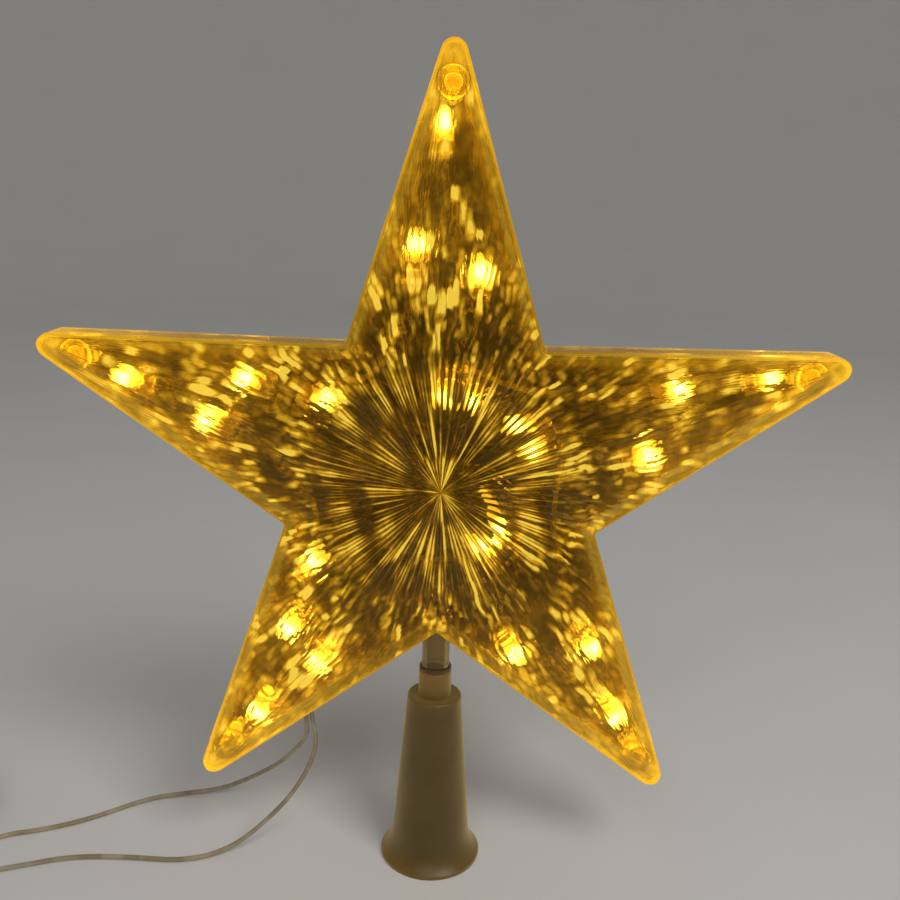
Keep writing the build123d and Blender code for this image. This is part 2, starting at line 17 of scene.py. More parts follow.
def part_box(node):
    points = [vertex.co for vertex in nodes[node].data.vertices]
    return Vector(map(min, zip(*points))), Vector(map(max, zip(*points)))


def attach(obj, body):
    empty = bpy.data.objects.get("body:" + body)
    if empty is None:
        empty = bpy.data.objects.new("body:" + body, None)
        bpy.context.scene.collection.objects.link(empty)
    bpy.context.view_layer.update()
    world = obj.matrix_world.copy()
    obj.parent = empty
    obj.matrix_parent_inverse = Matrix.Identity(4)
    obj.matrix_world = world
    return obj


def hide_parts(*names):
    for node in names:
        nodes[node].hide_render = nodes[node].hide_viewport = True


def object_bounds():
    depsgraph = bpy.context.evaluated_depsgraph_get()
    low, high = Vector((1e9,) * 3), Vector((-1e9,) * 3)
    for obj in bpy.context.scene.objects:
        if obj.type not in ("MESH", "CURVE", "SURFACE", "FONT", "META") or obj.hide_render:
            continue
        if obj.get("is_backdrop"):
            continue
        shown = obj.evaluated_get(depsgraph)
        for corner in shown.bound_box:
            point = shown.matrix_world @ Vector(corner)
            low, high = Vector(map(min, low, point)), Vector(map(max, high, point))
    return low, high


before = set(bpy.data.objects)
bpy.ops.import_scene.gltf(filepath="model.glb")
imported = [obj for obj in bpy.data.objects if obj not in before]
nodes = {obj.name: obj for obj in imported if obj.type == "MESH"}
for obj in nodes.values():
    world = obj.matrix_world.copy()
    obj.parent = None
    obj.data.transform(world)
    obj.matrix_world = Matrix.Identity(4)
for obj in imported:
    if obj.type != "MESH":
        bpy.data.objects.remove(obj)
solid_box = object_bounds()


def in_mm(point):
    """A place in millimetres, for printing."""
    return [round(v * 1000, 1) for v in point]


print("nodes", len(nodes), "box in mm", [in_mm(corner) for corner in solid_box])

# %% [markdown]
# ## The camera
# The picture is taken from a hand's height above the star's middle, close in front, looking a little down.
# A camera is three directions and a place: its right side, its down side and the way that it looks. Writing
# them as a matrix keeps the slight lean of the hand that held it.

# %% Camera
CAMERA_PLACE = Vector((0.000466, -0.24223, 0.18262))
CAMERA_RIGHT = Vector((0.99948, 0.00240, 0.03220))
CAMERA_DOWN = Vector((0.03171, -0.26064, -0.96491))
CAMERA_LENS = 39.61
SENSOR_WIDTH = 36.0

camera_data = bpy.data.cameras.new("camera")
camera_data.lens = CAMERA_LENS
camera_data.sensor_width = SENSOR_WIDTH
camera_data.clip_start = 0.01
camera = bpy.data.objects.new("camera", camera_data)
bpy.context.scene.collection.objects.link(camera)
backward = CAMERA_RIGHT.cross(-CAMERA_DOWN).normalized()
upward = backward.cross(CAMERA_RIGHT).normalized()
turn = Matrix((CAMERA_RIGHT.normalized(), upward, backward)).transposed()
camera.matrix_world = Matrix.Translation(CAMERA_PLACE) @ turn.to_4x4()
bpy.context.scene.camera = camera
print("camera looks along", [round(-v, 3) for v in backward])

# %% [markdown]
# ## Writing finishes as sums
# A material is a graph of nodes, and a long one is hard to read when each node is placed by hand. `Shade`
# wraps one output and overloads the operators, so that `1 - mask * 0.4` adds its own Math nodes. `Finish`
# holds one material, and its `node` method adds any other node: settings first, then the values or links of
# its sockets.

# %% Shade and Finish
class Shade:
    """One shader value; arithmetic on it adds Math nodes to its finish."""

    def __init__(self, finish, socket):
        self.finish = finish
        self.socket = socket

    def math(self, operation, first, second):
        return self.finish.node("ShaderNodeMath", {"operation": operation}, {0: first, 1: second})

    def output(self, name):
        return Shade(self.finish, self.socket.node.outputs[name])

    def __add__(self, other):
        return self.math("ADD", self, other)

    def __radd__(self, other):
        return self.math("ADD", other, self)

    def __sub__(self, other):
        return self.math("SUBTRACT", self, other)

    def __rsub__(self, other):
        return self.math("SUBTRACT", other, self)

    def __mul__(self, other):
        return self.math("MULTIPLY", self, other)

    def __rmul__(self, other):
        return self.math("MULTIPLY", other, self)


class Finish:
    """One material in the making."""

    def __init__(self, name):
        self.material = bpy.data.materials.new(name)
        self.material.use_nodes = True
        self.tree = self.material.node_tree
        self.shader = self.tree.nodes["Principled BSDF"]

    def node(self, kind, settings=None, sockets=None):
        made = self.tree.nodes.new(kind)
        for key, value in (settings or {}).items():
            setattr(made, key, value)
        for key, value in (sockets or {}).items():
            self.feed(made.inputs[key], value)
        shown = [socket for socket in made.outputs if socket.enabled]
        return Shade(self, shown[0])

    def feed(self, socket, value):
        if isinstance(value, Shade):
            self.tree.links.new(value.socket, socket)
        else:
            socket.default_value = value

    def surface(self, values):
        for name, value in values.items():
            self.feed(self.shader.inputs[name], value)

    def place(self):
        return self.node("ShaderNodeTexCoord").output("Object")

    def noise(self, scale, detail=2.0, where=None):
        sockets = {"Vector": where or self.place(), "Scale": scale, "Detail": detail}
        return self.node("ShaderNodeTexNoise", {"noise_dimensions": "3D"}, sockets)

    def mix(self, share, one, two):
        return self.node("ShaderNodeMix", {"data_type": "RGBA"}, {0: share, 6: one, 7: two})

    def ramp(self, value, low, high):
        settings = {"interpolation_type": "SMOOTHSTEP"}
        return self.node("ShaderNodeMapRange", settings, {0: value, 1: low, 2: high, 3: 0.0, 4: 1.0})

    def vector(self, operation, one, two):
        return self.node("ShaderNodeVectorMath", {"operation": operation}, {0: one, 1: two})

    def bump(self, height, strength, distance):
        sockets = {"Height": height, "Strength": strength, "Distance": distance}
        return self.node("ShaderNodeBump", None, sockets)

    def attribute(self, name):
        return self.node("ShaderNodeAttribute", {"attribute_name": name}).output("Fac")


def dress(finish, *names):
    """Give carried-over nodes a finish."""
    for name in names:
        for slot in nodes[name].material_slots:
            slot.material = finish.material


def new_piece(name, mesh, finish, body):
    """Link a made mesh or curve as a piece that rides on a body."""
    piece = bpy.data.objects.new(name, mesh)
    bpy.context.scene.collection.objects.link(piece)
    mesh.materials.append(finish.material)
    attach(piece, body)
    return piece


def face_outwards(mesh):
    """Turn all faces of a closed mesh to look out."""
    work = bmesh.new()
    work.from_mesh(mesh)
    bmesh.ops.recalc_face_normals(work, faces=work.faces)
    work.to_mesh(mesh)
    work.free()


print("finishes ready")

# %% [markdown]
# ## The leads' finish
# The leads are thin clear plastic over fine bare copper, so they look pale brown and shiny. A clear coat over
# a brown core gives that, and a fine noise breaks the colour as the twisted copper does.

# %% Lead finish
COPPER_DARK = (0.27, 0.205, 0.115, 1)
COPPER_LIGHT = (0.44, 0.36, 0.23, 1)
lead_finish = Finish("clear_lead")
strand_noise = lead_finish.noise(160.0, 2.0)
lead_tone = lead_finish.mix(lead_finish.ramp(strand_noise, 0.3, 0.75), COPPER_DARK, COPPER_LIGHT)
lead_finish.surface({
    "Base Color": lead_tone,
    "Roughness": 0.22 + strand_noise * 0.12,
    "Metallic": 0.0,
    "Coat Weight": 0.8,
    "Coat Roughness": 0.06,
    "Normal": lead_finish.bump(strand_noise, 0.05, 0.0002),
})
print("lead finish", len(lead_finish.tree.nodes), "nodes")

# %% [markdown]
# ## The route of the leads
# Each lead leaves the lower edge of the lower left arm, falls to the floor and runs left. Past the edge of
# the picture the two are twisted together, wound in a small coil for storage, tied, and end in a plug. The
# free stretch is a short list of given points, and the coil is a loop of turns: it spirals in and out in four
# layers and climbs a layer in the half turn where the spiral reverses.

# %% Star sizes that the leads need
CENTRE_HEIGHT = 0.1104
TIP_REACH = 0.1037
NOTCH_REACH = 0.0414
TIP_ROUND = 0.0032
NOTCH_ROUND = 0.0008
WALL = 0.0016
ARMS = {"lower_left": 234.0, "left": 162.0, "top": 90.0, "right": 18.0, "lower_right": 306.0}
HALF_TURN = pi / len(ARMS)

notch_along = NOTCH_REACH * cos(HALF_TURN)
notch_aside = NOTCH_REACH * sin(HALF_TURN)
tip_centre = TIP_REACH - TIP_ROUND
tip_angle = (atan2(notch_aside, tip_centre - notch_along)
             - asin(TIP_ROUND / hypot(tip_centre - notch_along, notch_aside)))
sharp_reach = notch_along + notch_aside / tan(tip_angle)
edge_distance = sharp_reach * sin(tip_angle)
edge_turn = pi / 2 - tip_angle


def arm_point(arm, along, aside, depth=0.0):
    """A place given along and beside an arm's middle line."""
    angle = radians(ARMS[arm])
    return Vector((along * cos(angle) - aside * sin(angle), depth,
                   CENTRE_HEIGHT + along * sin(angle) + aside * cos(angle)))


print("edge distance in mm", round(edge_distance * 1000, 2), "tip angle", round(tip_angle * 180 / pi, 2))

# %% Where the leads leave the star
LEAD_DIAMETER = 0.0013
LEAD_FLOOR = 0.00075
EXIT_REACH = 0.0730
EXIT_SPREAD = 0.0009
EXIT_CLEAR = 0.00045
EXIT_STRAIGHT = 0.004
EXIT_RUN = Vector((0.1, 0, -1)).normalized()
lower_edge = radians(ARMS["lower_left"]) + edge_turn
exit_length = WALL / EXIT_RUN.dot(Vector((cos(lower_edge), 0, sin(lower_edge)))) + EXIT_CLEAR


def lead_exit(along):
    """Where a lead is clear of the arm's edge."""
    half_width = (sharp_reach - along) * tan(tip_angle) - WALL / cos(tip_angle)
    return arm_point("lower_left", along, half_width) + EXIT_RUN * exit_length


front_exit = lead_exit(EXIT_REACH - EXIT_SPREAD)
back_exit = lead_exit(EXIT_REACH + EXIT_SPREAD)
print("leads leave at", in_mm(front_exit), in_mm(back_exit))

# %% Free stretch of each lead
front_route = [front_exit, front_exit + EXIT_RUN * EXIT_STRAIGHT,
               (-0.0317, -0.0007, 0.0334), (-0.0340, -0.0014, 0.0256), (-0.0390, -0.0022, 0.0170),
               (-0.0468, -0.0028, 0.0082), (-0.0560, -0.0046, 0.00105), (-0.0670, -0.0096, LEAD_FLOOR),
               (-0.0824, -0.0085, LEAD_FLOOR), (-0.0980, -0.0089, LEAD_FLOOR),
               (-0.1100, -0.0132, LEAD_FLOOR), (-0.1210, -0.0170, LEAD_FLOOR), (-0.1270, -0.0181, 0.0012)]
back_route = [back_exit, back_exit + EXIT_RUN * EXIT_STRAIGHT,
              (-0.0352, 0.0034, 0.0322), (-0.0394, 0.0076, 0.0252), (-0.0448, 0.0120, 0.0178),
              (-0.0538, 0.0180, 0.0092), (-0.0636, 0.0218, 0.0024), (-0.0746, 0.0214, LEAD_FLOOR),
              (-0.0854, 0.0182, LEAD_FLOOR), (-0.0985, 0.0078, LEAD_FLOOR),
              (-0.1105, 0.0020, LEAD_FLOOR), (-0.1205, -0.0006, LEAD_FLOOR),
              (-0.1255, -0.0062, LEAD_FLOOR), (-0.1280, -0.0120, 0.0012)]
print("points by hand", len(front_route), len(back_route))

# %% Turns of the coil
PAIR_DIAMETER = 0.0027
PAIR_START = Vector((-0.136, -0.0168, 0.00195))
COIL_START_X = -0.150
COIL_OUTER = 0.0208
COIL_TURNS = 3
COIL_PITCH = 0.0032
COIL_LAYERS = 4
CLIMB_TURNS = 0.5
CLIMB_SWING = 0.5
POINTS_PER_TURN = 24
PLUG_REAR_X = -0.198
PLUG_SHIFT = 0.0082
PLUG_MIDDLE = 0.007


def coil_point(turns):
    """Middle of the twisted pair after so many turns of winding."""
    cycle = COIL_TURNS + CLIMB_TURNS
    layer = min(int(turns / cycle + 1e-9), COIL_LAYERS - 1)
    inside = turns - layer * cycle
    sign = -1 if layer % 2 == 0 else 1
    radius = COIL_OUTER - (COIL_TURNS * COIL_PITCH if layer % 2 else 0.0)
    height = PAIR_START.z + layer * COIL_PITCH
    share = max(0.0, (inside - COIL_TURNS) / CLIMB_TURNS)
    radius += sign * COIL_PITCH * min(inside, COIL_TURNS)
    radius += sign * COIL_PITCH * CLIMB_SWING * min(share, 1 - share)
    height += COIL_PITCH * share * share * (3 - 2 * share)
    angle = -pi / 2 - 2 * pi * turns
    return (COIL_START_X + radius * cos(angle), PAIR_START.y + COIL_OUTER + radius * sin(angle), height)


total_turns = COIL_LAYERS * (COIL_TURNS + CLIMB_TURNS) - 1
steps = round(total_turns * POINTS_PER_TURN)
coil_points = [coil_point(step / POINTS_PER_TURN) for step in range(steps + 1)]
coil_end = Vector(coil_points[-1])
plug_end = Vector((PLUG_REAR_X, coil_end.y + PLUG_SHIFT, PLUG_MIDDLE))
pair_points = [PAIR_START, PAIR_START + Vector((-0.008, 0, 0))] + coil_points
pair_points += [coil_end + Vector((-0.0115, 0, 0)), coil_end + Vector((-0.024, 0.001, -0.00295)),
                plug_end + Vector((0.014, -0.0028, 0)), plug_end + Vector((0.007, 0, 0)), plug_end]
print("coil turns", total_turns, "points", len(pair_points), "ends at", in_mm(coil_end))

# %% [markdown]
# ## Bending a wire
# A wire bends smoothly, so its line is one spline that is pulled towards the points and never has a corner.
# The order is set after the points are there, because a new spline of one point can't hold a higher order.

# %% Spline and its own points
def wire_curve(name, points, thickness):
    """A curve of one smooth open spline."""
    curve = bpy.data.curves.new(name, "CURVE")
    curve.dimensions = "3D"
    spline = curve.splines.new("NURBS")
    spline.points.add(len(points) - 1)
    for spot, point in zip(spline.points, points):
        spot.co = (*point, 1.0)
    spline.order_u = 3
    spline.use_endpoint_u = True
    spline.resolution_u = 6
    curve.bevel_depth = thickness / 2
    curve.bevel_resolution = 4
    curve.use_fill_caps = thickness > 0
    return curve


def followed_points(points):
    """Points read along the smooth spline of a route."""
    route = bpy.data.objects.new("route", wire_curve("route", points, 0.0))
    bpy.context.scene.collection.objects.link(route)
    bpy.context.view_layer.update()
    line = bpy.data.meshes.new_from_object(route)
    read = np.array([vertex.co for vertex in line.vertices])
    bpy.data.objects.remove(route)
    bpy.data.meshes.remove(line)
    return read


pair_line = followed_points(pair_points)
pair_steps = np.linalg.norm(np.diff(pair_line, axis=0), axis=1)
pair_run = np.concatenate([[0.0], np.cumsum(pair_steps)])
print("twisted pair", round(pair_run[-1], 3), "m on", len(pair_line), "points")

# %% Two strands round the pair's line
TWIST_LENGTH = 0.020
STRAND_SPACING = 0.0022
STRAND_OFFSET = (PAIR_DIAMETER - LEAD_DIAMETER) / 2


def strand(side):
    """Points of one lead of the twisted pair."""
    stops = np.linspace(0.0, pair_run[-1], round(pair_run[-1] / STRAND_SPACING))
    middle = np.stack([np.interp(stops, pair_run, pair_line[:, axis]) for axis in range(3)], axis=1)
    along = np.gradient(middle, axis=0)
    along /= np.linalg.norm(along, axis=1)[:, None]
    level = np.cross(along, (0.0, 0.0, 1.0))
    level /= np.linalg.norm(level, axis=1)[:, None]
    over = np.cross(level, along)
    angle = 2 * pi * stops / TWIST_LENGTH
    offset = level * np.cos(angle)[:, None] - over * np.sin(angle)[:, None]
    return [Vector(p) for p in middle + offset * STRAND_OFFSET * side]


lead_rows = (("lead_back_wire", back_route, back_exit, 1),
             ("lead_front_wire", front_route, front_exit, -1))
for name, route, leave, side in lead_rows:
    curve = wire_curve(name, [Vector(p) for p in route] + strand(side), LEAD_DIAMETER)
    new_piece(name, curve, lead_finish, "star")
    print(name, "on", len(curve.splines[0].points), "points")
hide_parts("lead_back", "lead_coil")
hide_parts("lead_front")

# %% [markdown]
# ## The star's outline
# Each arm is a kite cut in two facets that meet in a ridge. Seen from the centre, the outline is a distance
# for each direction: a straight edge, an arc round the tip and a small arc in the notch. Drawing the outline
# in by a wall gives the inside, and by less than a millimetre the edge of the rim band, all on the same rays.

# %% Outline as a distance from the centre
SIDE_DEPTH = 0.0052
APEX_DEPTH = 0.0145
slope = (APEX_DEPTH - SIDE_DEPTH) / edge_distance
tilt = atan2(slope, 1.0)
inner_apex = APEX_DEPTH - WALL / cos(tilt)
notch_opening = HALF_TURN + tip_angle


def arc_end(tip_arc):
    """Angle from the arm's middle line at which the tip's arc meets the straight edge."""
    return atan2(tip_arc * cos(tip_angle), tip_centre + tip_arc * sin(tip_angle))


def outline(phi, inset):
    """Distance to the outline, drawn in by inset, at angles phi from the nearest arm's middle line."""
    straight = (edge_distance - inset) / np.cos(phi - edge_turn)
    tip_arc = TIP_ROUND - inset
    across = np.clip(tip_arc ** 2 - (tip_centre * np.sin(phi)) ** 2, 0, None)
    rounded = tip_centre * np.cos(phi) + np.sqrt(across)
    notch_arc = NOTCH_ROUND + inset
    corner = NOTCH_REACH * (edge_distance - inset) / edge_distance
    arc_centre = corner + notch_arc / sin(notch_opening)
    notch_limit = atan2(notch_arc * cos(notch_opening), arc_centre - notch_arc * sin(notch_opening))
    psi = HALF_TURN - phi
    across = np.clip(notch_arc ** 2 - (arc_centre * np.sin(psi)) ** 2, 0, None)
    hollow = arc_centre * np.cos(psi) - np.sqrt(across)
    return np.where(phi < arc_end(tip_arc), rounded, np.where(psi < notch_limit, hollow, straight))


def face_depth(phi, reach):
    """Depth of the outer facet from the star's middle plane."""
    return APEX_DEPTH - slope * reach * np.cos(phi - edge_turn)


def inner_depth(phi, reach):
    """Depth of the smooth inner facet."""
    return inner_apex - slope * reach * np.cos(phi - edge_turn)


print("slope of the facets", round(slope, 3), "inner apex in mm", round(inner_apex * 1000, 2))

# %% Rays from the apex
FLUTES = 20
COLUMNS_PER_FLUTE = 4
TIP_COLUMNS = 7
TIP_SPREAD = 1.05
even = np.linspace(0.0, HALF_TURN, FLUTES * COLUMNS_PER_FLUTE + 1)
near_tip = np.linspace(0.0, arc_end(TIP_ROUND) * TIP_SPREAD, TIP_COLUMNS)
half_arm = np.unique(np.round(np.concatenate([even, near_tip]), 6))
half_arm[-1] = HALF_TURN

ray_turn, ray_phi, ray_facet = [], [], []
for order, angle in enumerate(sorted(ARMS.values())):
    for side, rays in ((-1, half_arm[:0:-1]), (1, half_arm[:-1])):
        ray_turn.append(radians(angle) + side * rays)
        ray_phi.append(rays)
        ray_facet.append(np.full(len(rays), 2 * order + (side > 0)))
ray_turn, ray_phi, ray_facet = (np.concatenate(part) for part in (ray_turn, ray_phi, ray_facet))
print("rays", len(ray_phi), "per facet", len(half_arm) - 1)

# %% [markdown]
# ## Flutes and bricks
# The moulded pattern starts at the apex as a few straight flutes. Each splits in two again and again further
# out, so that they stay one to three millimetres wide, and in the arms they break into staggered bricks a
# few millimetres long, no two alike. The relief is a height for each ray and distance: a triangle wave across
# the flute, times a brick's own height along it. It only cuts into the facet, so the star's box stays as it
# is. A light number goes with the height: two thin lines in each flute, a brightness of its own for each
# brick, and broad bright and dark patches over all of it.

# %% Relief
RELIEF_DEPTH = 0.00042
RELIEF_STEEPNESS = 0.36
SPLITS = ((2.5, 0.0), (5, 0.0075), (10, 0.018), (FLUTES, 0.038))
SPLIT_RUN = 0.3
WANDER = 0.22
LONG_WANDER = 0.0021
SHORT_WANDER = 0.0012
SHORT_SHARE = 0.6
BRICK_START = 0.026
BRICK_RUN = 0.010
BRICK_SHORT = 0.0020
BRICK_LONG = 0.0085
BRICKS = 40
BRICK_HEIGHTS = (0.1, 1.0)
BRICK_LIGHT = (1.3, 0.5)
BRICK_ENDS = 4
BRICK_ROUND = 0.7
BRICK_LINE = 1.7
LINES_PER_FLUTE = 2
LINE_LIGHT = (1.7, 0.36)
LINE_SHARPNESS = 2.4
LINE_FLOOR = 0.25
PATCH_LENGTHS = (0.0085, 0.0115, 0.0150, 0.0210)
PATCH_DIM = 0.30
PATCH_BRIGHT = 1.75


def crest(place):
    """One in the middle of each step, down to nothing where two steps meet."""
    return 1 - 2 * abs(place % 1 - 0.5)


def wandering(distance, phi, facet):
    """How far the flutes wander sideways, from a long and a short wave."""
    long_wave = np.sin(distance / LONG_WANDER + 5 * np.sin(9 * phi + facet))
    return long_wave + SHORT_SHARE * np.sin(distance / SHORT_WANDER + 31 * phi)


def patches(reach, rng):
    """Broad bright and dark patches over the pattern, from a few crossing waves."""
    x, z = reach * np.cos(ray_turn), reach * np.sin(ray_turn)
    waves = np.zeros_like(reach)
    for length in PATCH_LENGTHS:
        heading, shift = rng.uniform(0, 2 * pi, 2)
        waves += np.sin(2 * pi * (x * cos(heading) + z * sin(heading)) / length + shift)
    share = np.clip(0.5 + waves / len(PATCH_LENGTHS), 0, 1)
    return PATCH_DIM + (PATCH_BRIGHT - PATCH_DIM) * share


def relief(reach, seed):
    """Groove depth and brightness of the pattern for a grid of distances, one column for each ray."""
    rng = np.random.default_rng(seed)
    groove = np.zeros_like(reach)
    light = np.zeros_like(reach)
    finest = SPLITS[-1][0]
    for facet in range(2 * len(ARMS)):
        rays = np.flatnonzero(ray_facet == facet)
        distance = reach[:, rays]
        phi = ray_phi[rays]
        broken = np.clip((distance - BRICK_START) / BRICK_RUN, 0, 1)
        wander = WANDER * broken * wandering(distance, phi, facet)
        wave, depth, glow, line = (np.zeros_like(distance) for kind in range(4))
        for count, start in SPLITS:
            line_light = rng.gamma(*LINE_LIGHT, int(count * LINES_PER_FLUTE) + 2)
            place = np.clip(phi / HALF_TURN * count + wander, 0, count)
            line_place = place * LINES_PER_FLUTE
            share = np.clip((distance - start) / (SPLIT_RUN * start + 1e-6), 0, 1)
            flank = np.minimum(RELIEF_DEPTH, RELIEF_STEEPNESS * distance * HALF_TURN / count)
            wave += share * (crest(place) - wave)
            line += share * (crest(line_place) - line)
            glow += share * (line_light[line_place.astype(int)] - glow)
            depth += share * (flank - depth)
        lengths = rng.uniform(BRICK_SHORT, BRICK_LONG, (finest, BRICKS))
        ends = BRICK_START + np.cumsum(lengths, axis=1) - rng.uniform(0, BRICK_LONG, (finest, 1))
        heights = rng.uniform(*BRICK_HEIGHTS, (finest, BRICKS))
        brick_light = rng.gamma(*BRICK_LIGHT, (finest, BRICKS))
        flute = np.clip(phi / HALF_TURN * finest + wander, 0, finest - 1).astype(int)
        number = np.minimum((distance[:, :, None] > ends[flute]).sum(axis=2), BRICKS - 1)
        to_end = (ends[flute, number] - distance) / lengths[flute, number]
        body = np.clip(BRICK_ENDS * np.minimum(to_end, 1 - to_end), 0, 1) ** BRICK_ROUND
        brick = 1 - broken * (1 - heights[flute, number] * body)
        groove[:, rays] = depth * (1 - wave * brick)
        glow += broken * (brick_light[flute, number] * body - glow)
        line = line ** LINE_SHARPNESS
        line += broken * (np.clip(BRICK_LINE * wave, 0, 1) - line)
        light[:, rays] = glow * (LINE_FLOOR + (1 - LINE_FLOOR) * line)
    return groove, light * patches(reach, rng)


print("relief up to", RELIEF_DEPTH * 1000, "mm deep")

# %% [markdown]
# ## Where the light goes
# Light from each lamp runs into the plastic near it and comes out again where the flutes turn it towards the
# eye: most at the same distance from the centre, spread sideways over the flutes. Three bright fans open near
# the apex. The rim is a thin line of light over a gold side wall. These amounts are kept on the mesh as a
# number for each point. A fan is a heading in degrees, a strength, a length and a width in degrees.

# %% Light from the lamps
GLOW_ALONG = 0.0085
GLOW_ASIDE = 0.013
BURSTS = ((-60.0, 0.7, 0.009, 22.0), (12.0, 0.7, 0.014, 12.0), (235.0, 0.6, 0.006, 12.0))
lamp_names = [f"led_{arm}_{number}" for arm in ARMS for number in range(1, 5)]
lamp_places = np.array([(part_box(name)[0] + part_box(name)[1]) / 2 for name in lamp_names])


def lamp_light(x, z):
    """How strongly the lamps light places of the star's face."""
    total = np.zeros_like(x)
    reach = np.hypot(x, z - CENTRE_HEIGHT)
    turn_here = np.arctan2(z - CENTRE_HEIGHT, x)
    for lamp_x, lamp_z in lamp_places[:, ::2]:
        lamp_reach = hypot(lamp_x, lamp_z - CENTRE_HEIGHT)
        lamp_turn = atan2(lamp_z - CENTRE_HEIGHT, lamp_x)
        turn_gap = np.angle(np.exp(1j * (turn_here - lamp_turn)))
        aside = turn_gap * (reach + lamp_reach) / 2
        total += np.exp(-((reach - lamp_reach) / GLOW_ALONG) ** 2 - (aside / GLOW_ASIDE) ** 2)
    for heading, strength, length, width in BURSTS:
        turn_gap = np.angle(np.exp(1j * (turn_here - radians(heading))))
        total += strength * np.exp(-((reach - length) / length) ** 2 - (turn_gap / radians(width)) ** 2)
    return total


print("lamps", len(lamp_places))

# %% [markdown]
# ## The half shells
# A shell is one closed skin: the pattern from the apex out to the rim band, the rounded rim, the straight
# side, the seam with its lip, and back up the smooth inside to the inner apex. Every row is a ring of points
# on the same rays, so a ring is a distance and a depth for each ray. At the bottom notch the seam arches over
# the neck tube and leaves its half of the hole. `HAZE` and `BRICK_GLOW` pair a distance from the centre with
# the light of the plain face and of the pattern there.

# %% Rings of a shell
RIM_BAND = 0.0007
RELIEF_ROWS = 96
ROW_SPREAD = 0.78
INNER_ROWS = 6
LIP_INSET = 0.0009
LIP_HEIGHT = 0.001
LIP_PLAY = 0.0001
LIP_RIM = 0.4
SEAM_GAP = 0.00005
NECK_HOLE = 0.00374
BOTTOM_SINE = -0.9
PEG_REACH = 0.0943
BOSS_RADIUS = 0.0036
CALM_RUN = 0.0014
CALM_LEAST = 0.1
HAZE = ((0.015, 0.20), (0.030, 0.24), (0.045, 0.30), (0.060, 0.39), (0.094, 0.37), (0.103, 0.75))
EDGE_HAZE = 0.12
EDGE_RIM = 0.5
EDGE_RUN = 0.0036
BOSS_HAZE = 0.3
BRICK_GLOW = ((0.020, 1.0), (0.040, 0.48), (0.060, 0.29))
LAMP_SHARE = 0.5
EDGE_LAMP_SHARE = 0.2
APEX_GLOW = 0.6
LINE_GLOW = 0.35
SIDE_DIM = 0.18
RIM_PROFILE = ((0.0005, 0.00002), (0.0002, 0.00012), (0.00004, 0.0004))
SIDE_STEPS = ((0.0, 0.0036), (0.0, 0.0018), (0.0, 0.0004), (0.0002, 0.00012))


def over_bosses(reach):
    """Next to nothing over the bosses, one elsewhere."""
    calm = np.ones_like(reach)
    for angle in ARMS.values():
        middle = PEG_REACH * np.exp(1j * radians(angle))
        from_boss = abs(reach * np.exp(1j * ray_turn) - middle)
        calm *= np.clip((from_boss - BOSS_RADIUS) / CALM_RUN + 0.5, CALM_LEAST, 1)
    return calm


def shell_rings(is_rear, seed):
    """Distances, depths, light and rim share of each ring of one half shell, from apex to inner apex."""
    rings = []
    band = outline(ray_phi, RIM_BAND)
    shares = np.linspace(0.0, 1.0, RELIEF_ROWS + 1)[1:] ** ROW_SPREAD
    reach = shares[:, None] * band[None, :]
    groove, light = relief(reach, seed)
    calm = over_bosses(reach)
    groove, light = groove * calm, light * calm
    for row in range(RELIEF_ROWS):
        settle = 1.0 if row < RELIEF_ROWS - 1 else 0.0
        depth = face_depth(ray_phi, reach[row]) - groove[row] * settle
        rings.append((reach[row], depth, light[row], 0.0))
    for inset, drop in RIM_PROFILE:
        edge = outline(ray_phi, inset)
        rings.append((edge, face_depth(ray_phi, edge) - drop, np.full_like(edge, LINE_GLOW), 1.0))
    seam = [*SIDE_STEPS]
    if is_rear:
        seam += [(LIP_INSET, SEAM_GAP), (LIP_INSET, -LIP_HEIGHT), (WALL, -LIP_HEIGHT)]
    else:
        step = LIP_INSET - LIP_PLAY
        top = LIP_HEIGHT + LIP_PLAY
        seam += [(step, SEAM_GAP), (step, top), (WALL, top)]
    for inset, depth in seam:
        edge = outline(ray_phi, inset)
        x = edge * np.cos(ray_turn)
        below = np.sin(ray_turn) < BOTTOM_SINE
        arch = np.where(below, np.sqrt(np.clip(NECK_HOLE ** 2 - x ** 2, 0, None)), 0.0)
        low = np.where(arch > 0, np.maximum(depth, arch), depth)
        share = 1.0 if inset < LIP_INSET / 2 else LIP_RIM
        rings.append((edge, low, np.full_like(edge, -SIDE_DIM), share))
    inner = outline(ray_phi, WALL)
    for share in np.linspace(1.0, 0.0, INNER_ROWS + 1)[:-1]:
        depth = inner_depth(ray_phi, share * inner)
        rings.append((share * inner, depth, np.zeros_like(inner), 0.0))
    return rings


print("rows of the pattern", RELIEF_ROWS, "and of the inside", INNER_ROWS)

# %% Skin over the rings
FRONT_SEED = 7
REAR_SEED = 8


def skin_faces(rows, count):
    """Faces of a closed skin over rows of count points, with one point before them and one after."""
    ring = [(i, (i + 1) % count) for i in range(count)]
    last = 1 + (rows - 1) * count
    faces = [(0, 1 + b, 1 + a) for a, b in ring]
    for low in range(1, last, count):
        faces += [(low + a, low + b, low + count + b, low + count + a) for a, b in ring]
    return faces + [(last + a, last + b, last + count) for a, b in ring]


def keep_numbers(mesh, label, values):
    """Keep a number for each point on a mesh."""
    layer = mesh.attributes.new(label, "FLOAT", "POINT")
    layer.data.foreach_set("value", values.astype(np.float32))


